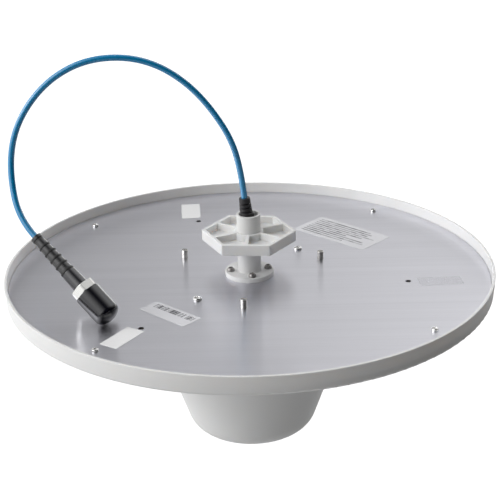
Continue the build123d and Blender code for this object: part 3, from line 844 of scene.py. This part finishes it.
@dataclass
class Sticker:
    """A thin label on the ground plane. Lengths are in millimetres and the turn in degrees."""

    name: str
    centre: Pair
    size: Pair
    turn: float
    finish: Paper
    corner: float = 0.8
    thick: float = 0.12
    columns: int = 64
    crease: float = 30.0
    edge: tuple[Pair, ...] = ((0.0, 0.01), (0.0, 0.6), (0.08, 1.0), (0.5, 1.0))

    def build(self, material: Material) -> Object:
        """Makes the label: a rounded rectangle in four rings, with its rim rolled down to the plate.

        The outline is a rectangle of half sizes a, b drawn in by the corner radius, plus that
        radius in the direction of the angle t, as t goes round once. Each ring of the edge has an
        inset from the outline and a share of the thickness.

        Args:
            material: the finish, already made.

        Returns:
            The piece, with a UV map that runs from 0 to 1 over the label.
        """
        columns = self.columns
        t = np.linspace(0, 2 * pi, columns, endpoint=False) + pi / columns
        half = np.array(self.size) / 2
        direction = np.stack([np.cos(t), np.sin(t)], -1)
        core = np.sign(direction) * (half - self.corner)
        rings = []
        for inset, share in self.edge:
            ring = core + direction * (self.corner - inset)
            rings.append(np.column_stack([ring, np.full(columns, share * self.thick)]))
        points = np.concatenate(rings)
        faces = grid_faces(len(rings), columns, True).tolist()
        top = list(range(len(points) - columns, len(points)))
        faces += [top, list(range(columns))[::-1]]
        angle = radians(self.turn)
        spin = np.array([[cos(angle), sin(angle)], [-sin(angle), cos(angle)]])
        placed = np.column_stack([points[:, :2] @ spin + self.centre, points[:, 2]]) * MM
        placed[:, 2] += PLATE_TOP
        mesh = bpy.data.meshes.new(self.name)
        mesh.from_pydata(placed.tolist(), [], faces)
        layer = mesh.uv_layers.new(name="label")
        corners = np.zeros(len(mesh.loops), np.int32)
        mesh.loops.foreach_get("vertex_index", corners)
        layer.data.foreach_set("uv", (points[corners, :2] / self.size + 0.5).ravel())
        shade(mesh, self.crease)
        mesh.materials.append(material)
        label = link(self.name, mesh)
        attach(label, "root")
        LOG.info("made %s", self.name)
        return label


# ------------------------------------------------------------------ the antenna's sub-assemblies


def dress_node(name: str, finish: Material) -> None:
    """Gives a CAD node its finish.

    Args:
        name: the node.
        finish: its material.
    """
    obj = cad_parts[name]
    if not obj.material_slots:
        obj.data.materials.append(finish)
    for slot in obj.material_slots:
        slot.material = finish
    LOG.info("dressed %s in %s", name, finish.name)


def dress_nodes(finishes: dict[Finish, tuple[str, ...]]) -> None:
    """Makes each finish once and gives it to its CAD nodes.

    Args:
        finishes: finish to the names of the nodes that have it.
    """
    for finish, nodes in finishes.items():
        material = finish.make()
        for node in nodes:
            dress_node(node, material)


@dataclass
class Radome:
    """White moulded shell: rim, pan and dome."""

    shell: Moulding = Moulding(
        "white_shell", (0.80, 0.80, 0.795), gloss=0.34, mottle=0.012, relief=0.03, scatter=0.3
    )

    def dress(self) -> None:
        """Dresses the shell."""
        dress_nodes({self.shell: ("radome",)})


@dataclass
class GroundPlane:
    """Brushed plate with its rim screws, bracket screws, post ends and labels.

    Lengths are in millimetres. The row is the heading in degrees of the first rim screw, and the
    two bracket screws are in line with it.
    """

    plate: BrushedSheet = BrushedSheet("brushed_aluminium", (0.80, 0.80, 0.85))
    screw: TurnedMetal = TurnedMetal("bright_steel", (0.72, 0.72, 0.71), gloss=0.25)
    post: TurnedMetal = TurnedMetal("post_steel", (0.62, 0.61, 0.58), gloss=0.22)
    paper: Colour = (0.90, 0.90, 0.90)
    film: Colour = (0.75, 0.75, 0.78)
    clear: Colour = (0.80, 0.80, 0.83)
    clear_alpha: float = 0.15
    row: float = 50.3
    rim_circle: float = 179.3
    bracket_circle: float = 65.4

    def screws(self) -> list[ScrewSet]:
        """Sets out the screws whose heads show on the plate.

        Returns:
            The rim screws and the bracket screws.
        """
        rim = ScrewSet(
            "rim_screw_set",
            "rim_screws",
            circle=self.rim_circle,
            start=self.row,
            count=4,
            head=2.8,
            rise=2.5,
            seat=PLATE_TOP / MM,
            shank=1.25,
            length=4.7,
        )
        bracket = ScrewSet(
            "bracket_screw_set",
            "bracket_screws",
            circle=self.bracket_circle,
            start=self.row,
            count=2,
            head=3.6,
            rise=2.6,
            seat=PLATE_TOP / MM,
            shank=1.9,
            length=10.2,
        )
        return [rim, bracket]

    def stickers(self) -> list[Sticker]:
        """Sets out the labels as they sit on the plate.

        Returns:
            The five labels.
        """
        plain = Paper("bare_label", self.paper)
        ruled = Paper("ruled_label", self.film, Print.RULED)
        bars = Paper("bar_label", self.film, Print.BARS)
        clear = Paper("clear_label", self.clear, gloss=0.3, alpha=self.clear_alpha)
        return [
            Sticker("square_label", (-53.1, 148.4), (17.0, 36.0), 3.0, plain),
            Sticker("ruled_label", (81.8, 86.7), (77.5, 39.4), -43.0, ruled),
            Sticker("bar_label", (-62.5, -75.2), (48.8, 19.8), -43.0, bars),
            Sticker("blank_label", (-96.5, -115.9), (34.5, 15.9), 56.5, plain),
            Sticker("clear_label", (154.4, -22.8), (35.4, 15.8), 4.8, clear),
        ]

    def build(self) -> None:
        """Makes the screws and labels."""
        steel = self.screw.make()
        for group in self.screws():
            piece = group.build()
            piece.data.materials.append(steel)
        stickers = self.stickers()
        papers = {finish: finish.make() for finish in dict.fromkeys(s.finish for s in stickers)}
        for sticker in stickers:
            sticker.build(papers[sticker.finish])

    def dress(self) -> None:
        """Dresses the plate and the posts."""
        dress_nodes({self.plate: ("ground_plane",), self.post: ("support_posts",)})


@dataclass
class CeilingMount:
    """Flanged stem, its screws, the hand nut and the strain relief. Lengths are in millimetres."""

    stem: Moulding = Moulding("white_nylon", (0.79, 0.79, 0.78), gloss=0.42)
    nut: Moulding = Moulding("nut_nylon", (0.79, 0.79, 0.785), gloss=0.40, scatter=0.5)
    relief: Moulding = Moulding("relief_rubber", (0.022, 0.022, 0.024), gloss=0.45, grain=1600.0, relief=0.1)
    screw: TurnedMetal = TurnedMetal("dark_steel", (0.34, 0.33, 0.32), gloss=0.4, tarnish=0.3)
    flange: float = 4.0
    circle: float = 15.5
    start: float = 8.0

    def build(self) -> None:
        """Makes the four flange screws."""
        screws = ScrewSet(
            "flange_screw_set",
            "flange_screws",
            circle=self.circle,
            start=self.start,
            count=4,
            head=3.2,
            rise=3.2,
            seat=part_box("mounting_stem")[0].z / MM + self.flange,
            shank=1.45,
            length=10.2,
            fullness=2.6,
        )
        piece = screws.build()
        piece.data.materials.append(self.screw.make())

    def dress(self) -> None:
        """Dresses the stem, the nut and the strain relief."""
        finishes = {
            self.stem: ("mounting_stem",),
            self.nut: ("ceiling_nut",),
            self.relief: ("stem_strain_relief",),
        }
        dress_nodes(finishes)


@dataclass
class Pigtail:
    """The free coaxial cable and the plug on its end. Lengths are in millimetres."""

    radius: float = 2.5
    length: float = 360.8
    jacket: Moulding = Moulding(
        "blue_jacket", (0.001, 0.265, 0.56), gloss=0.24, mottle=0.03, relief=0.04, ior=1.9
    )
    # the boot's finish paints shade into its grooves
    boot: RibbedPaintedShade = RibbedPaintedShade(
        "boot_rubber_groove_shade", (0.014, 0.014, 0.016), gloss=0.28, grain=1800.0, relief=0.1, ior=1.75
    )
    sleeve: Moulding = Moulding("black_sleeve", (0.012, 0.012, 0.017), gloss=0.22, relief=0.02, ior=1.85)
    cap: Moulding = Moulding("black_cap", (0.004, 0.004, 0.008), gloss=0.19, relief=0.012, ior=1.75)
    nickel: TurnedMetal = TurnedMetal("nickel", (0.86, 0.86, 0.84), gloss=0.18, tarnish=0.05)
    gold: TurnedMetal = TurnedMetal("gold_contact", (0.88, 0.68, 0.33), gloss=0.16)
    ptfe: Moulding = Moulding("white_ptfe", (0.82, 0.82, 0.80), gloss=0.45)
    seal: Moulding = Moulding("red_seal", (0.42, 0.06, 0.05), gloss=0.5)
    route: list[tuple[float, float, float]] = field(
        default_factory=lambda: [
            (-3.005, 0.0, 58.0),
            (-5.009, 0.0, 79.005),
            (-12, -2, 108),
            (-28, -3, 135),
            (-46, -5, 156),
            (-69, -7, 172),
            (-95, -9, 179),
            (-124, -12, 177),
            (-149, -16, 165),
            (-168, -20, 146),
            (-181, -24, 122),
            (-185, -29, 92),
            (-178.121, -44.907, 60.715),
            PLUG_REAR,
        ]
    )
    steps: int = 16
    facets: int = 10
    on_cord: tuple[str, ...] = (
        "coax_tail",
        "connector_boot",
        "connector_sleeve",
        "connector_body",
        "retaining_ring",
        "coupling_nut",
        "coupling_gasket",
        "connector_dielectric",
        "centre_contact",
        "dust_cap",
    )

    def build(self) -> None:
        """Makes the free cable, and gives the cable's hidden ends the same jacket."""
        jacket = self.jacket.make()
        self.lay(jacket)
        for node in ("coax_inner", "coax_tail"):
            dress_node(node, jacket)

    def lay(self, jacket: Material) -> None:
        """Lays the free cable: a quadratic NURBS line, fixed at both ends, with a round section.

        Args:
            jacket: the cable's finish.
        """
        curve = bpy.data.curves.new("coax_cable", "CURVE")
        curve.dimensions = "3D"
        spline = curve.splines.new("NURBS")
        spline.points.add(len(self.route) - 1)
        points = np.column_stack([np.array(self.route) * MM, np.ones(len(self.route))])
        spline.points.foreach_set("co", points.ravel())
        spline.order_u = 3
        spline.use_endpoint_u = True
        spline.resolution_u = self.steps
        spline.use_smooth = True
        curve.bevel_depth = self.radius * MM
        curve.bevel_resolution = self.facets
        curve.use_fill_caps = True
        curve.materials.append(jacket)
        cable = link("coax_cable", curve)
        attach(cable, "root")
        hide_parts("coax_lead")
        LOG.info("made coax_cable, %.0f mm long", self.length)

    def dress(self) -> None:
        """Dresses the plug."""
        finishes = {
            self.boot: ("connector_boot",),
            self.sleeve: ("connector_sleeve",),
            self.nickel: ("connector_body", "retaining_ring", "coupling_nut"),
            self.ptfe: ("connector_dielectric",),
            self.gold: ("centre_contact",),
            self.seal: ("coupling_gasket",),
            self.cap: ("dust_cap",),
        }
        dress_nodes(finishes)


@dataclass
class Radiator:
    """What the radome hides: feed, cone, bracket, posts' ring and their screws."""

    sheet: TurnedMetal = TurnedMetal("bare_aluminium", (0.78, 0.79, 0.80), gloss=0.3)
    brass: TurnedMetal = TurnedMetal("feed_brass", (0.80, 0.62, 0.30), gloss=0.25)
    steel: TurnedMetal = TurnedMetal("inner_steel", (0.66, 0.66, 0.65), gloss=0.28)
    bracket: Moulding = Moulding("grey_bracket", (0.55, 0.55, 0.55), gloss=0.45)
    ptfe: Moulding = Moulding("feed_ptfe", (0.82, 0.82, 0.80), gloss=0.45)

    def dress(self) -> None:
        """Dresses the hidden pieces."""
        finishes = {
            self.sheet: ("radiator_cone", "radiator_cap", "low_band_ring"),
            self.brass: ("feed_flange", "feed_pin", "cable_ferrule"),
            self.steel: ("cap_screws", "collar_screws", "ring_screws"),
            self.bracket: ("radiator_bracket",),
            self.ptfe: ("feed_insulator",),
        }
        dress_nodes(finishes)


# ------------------------------------------------------------------ studio


@dataclass(frozen=True)
class SoftLight:
    """A light with a heading from the antenna, an angular radius in degrees and a radiance."""

    azimuth: float
    elevation: float
    radius: float
    radiance: float

    @property
    def towards(self) -> Vector:
        """Unit vector from the antenna to the light."""
        return heading(self.azimuth, self.elevation)


@dataclass
class Studio:
    """Camera, key light, pale floor and white surround.

    Distance, lens, sensor and floor_drop are in millimetres. View_depth, key_distance, floor_half
    and floor_fade are in metres, and angles in degrees. Wall_reach is a span of the cosine of the
    angle from the wall's heading, over which the wall comes to its full radiance.
    """

    distance: float = 1141.94
    elevation: float = 22.957
    roll: float = -1.191
    pan: float = -0.02195
    tilt: float = 0.5667
    lens: float = 99.885
    sensor: float = 36.0
    view_depth: float = 50.0
    key: SoftLight = SoftLight(192, 27, 10, 3.6)
    key_distance: float = 4.0
    glows: tuple[SoftLight, ...] = (SoftLight(197, 34, 59, 3.2), SoftLight(51, 49, 56, 1.5))
    wall: SoftLight = SoftLight(98, 0, 15.0, 5.2)
    wall_reach: Pair = (0.3, 0.9)
    floor_drop: float = 600.0
    floor_half: float = 12.0
    floor_tone: float = 0.2
    floor_heading: float = -26.0
    floor_glow: Pair = (1.05, 0.16)
    floor_fade: Pair = (-1.8, 1.2)

    def camera(self) -> None:
        """Places the camera.

        It looks at the rim's centre from its distance and elevation, is rolled about its view and
        is then turned by its pan and tilt.
        """
        e = radians(self.elevation)
        place = Vector((0, -cos(e), sin(e))) * self.distance * MM
        aimed = (-place).to_track_quat("-Z", "Y").to_matrix()
        roll = Matrix.Rotation(radians(self.roll), 3, "Z")
        pan = Matrix.Rotation(radians(self.pan), 3, "Y")
        tilt = Matrix.Rotation(radians(self.tilt), 3, "X")
        data = bpy.data.cameras.new("camera")
        data.lens = self.lens
        data.sensor_width = self.sensor
        data.clip_end = self.view_depth
        camera = link("camera", data)
        camera.matrix_world = Matrix.Translation(place) @ (aimed @ roll @ pan @ tilt).to_4x4()
        bpy.context.scene.camera = camera

    def surround(self) -> None:
        """White to the camera, and to all else a dark room with two broad glows and a low bright wall.

        A glow falls off smoothly with the angle from its heading. The wall has its full radiance
        up to the level of the antenna and fades out at its angular radius above it, and it fades
        with the angle from its heading as well.
        """
        world = bpy.data.worlds.new("surround")
        bpy.context.scene.world = world
        world.use_nodes = True
        world.node_tree.nodes.clear()
        g = Graph(world.node_tree)
        view = g.add("TexCoord").outputs["Generated"]
        height = g.add("SeparateXYZ", {0: view}).outputs[2]
        facing = g.vector("DOT_PRODUCT", view, self.wall.towards).outputs["Value"]
        low = g.spread(height, self.wall.radiance, 0.0, (0.0, sin(radians(self.wall.radius))))
        level = g.math("MULTIPLY", low, g.spread(facing, 0.0, 1.0, self.wall_reach))
        for glow in self.glows:
            away = g.math("ARCCOSINE", g.vector("DOT_PRODUCT", view, glow.towards).outputs["Value"])
            limits = {0: away, 1: radians(glow.radius), 2: 0.0, 3: 0.0, 4: glow.radiance}
            spot = g.add("MapRange", limits, interpolation_type="SMOOTHSTEP").outputs[0]
            level = g.math("ADD", level, spot)
        seen = g.add("LightPath").outputs["Is Camera Ray"]
        strength = g.add("Mix", {0: seen, 2: level, 3: 1.0}).outputs[0]
        back = g.add("Background", {"Color": (1, 1, 1, 1), "Strength": strength})
        g.add("OutputWorld", {"Surface": back.outputs[0]})

    def lamp(self, name: str, light: SoftLight) -> None:
        """Adds a round soft box that faces the antenna.

        Its power is its radiance times pi squared times its radius squared.

        Args:
            name: the lamp's name.
            light: its heading, angular radius and radiance.
        """
        reach = self.key_distance * tan(radians(light.radius))
        data = bpy.data.lights.new(name, "AREA")
        data.shape = "DISK"
        data.size = 2 * reach
        data.energy = light.radiance * pi * pi * reach**2
        lamp = link(name, data)
        lamp.location = light.towards * self.key_distance
        lamp.rotation_euler = (-light.towards).to_track_quat("-Z", "Y").to_euler()

    def floor(self) -> None:
        """Lays a wide pale floor.

        The camera sees it white, and everything else sees a glow that fades along its heading.
        """
        half = self.floor_half
        corners = np.array([(-half, -half), (half, -half), (half, half), (-half, half)])
        points = np.column_stack([corners, np.full(4, -self.floor_drop * MM)])
        mesh = bpy.data.meshes.new("floor")
        mesh.from_pydata(points.tolist(), [], [(0, 1, 2, 3)])
        floor = link("floor", mesh)
        material = bpy.data.materials.new("floor")
        material.use_nodes = True
        material.node_tree.nodes.clear()
        g = Graph(material.node_tree)
        place = g.add("TexCoord").outputs["Object"]
        along = g.vector("DOT_PRODUCT", place, heading(self.floor_heading, 0)).outputs["Value"]
        glow = g.add("Emission", {"Strength": g.spread(along, *self.floor_glow, self.floor_fade)})
        lit = g.add("BsdfDiffuse", {"Color": (self.floor_tone, self.floor_tone, self.floor_tone, 1)})
        white = g.add("Emission", {"Color": (1, 1, 1, 1), "Strength": 1.0})
        bright = g.add("AddShader", {0: white.outputs[0], 1: lit.outputs[0]})
        seen = g.add("LightPath").outputs["Is Camera Ray"]
        surface = g.add("MixShader", {0: seen, 1: glow.outputs[0], 2: bright.outputs[0]})
        g.add("OutputMaterial", {"Surface": surface.outputs[0]})
        mesh.materials.append(material)

    def build(self) -> None:
        """Sets up the whole studio."""
        self.camera()
        self.surround()
        self.lamp("key", self.key)
        self.floor()
        bpy.context.scene.view_settings.view_transform = "Standard"
        LOG.info("studio ready")


def main() -> None:
    """Builds the antenna's dressed model and the studio, piece by piece."""
    logging.basicConfig(level=logging.INFO, format="%(name)s: %(message)s")
    Studio().build()
    pigtail = Pigtail()
    pigtail.build()
    pigtail.dress()
    Radome().dress()
    ground = GroundPlane()
    ground.build()
    ground.dress()
    mount = CeilingMount()
    mount.build()
    mount.dress()
    Radiator().dress()


if __name__ == "__main__":
    main()
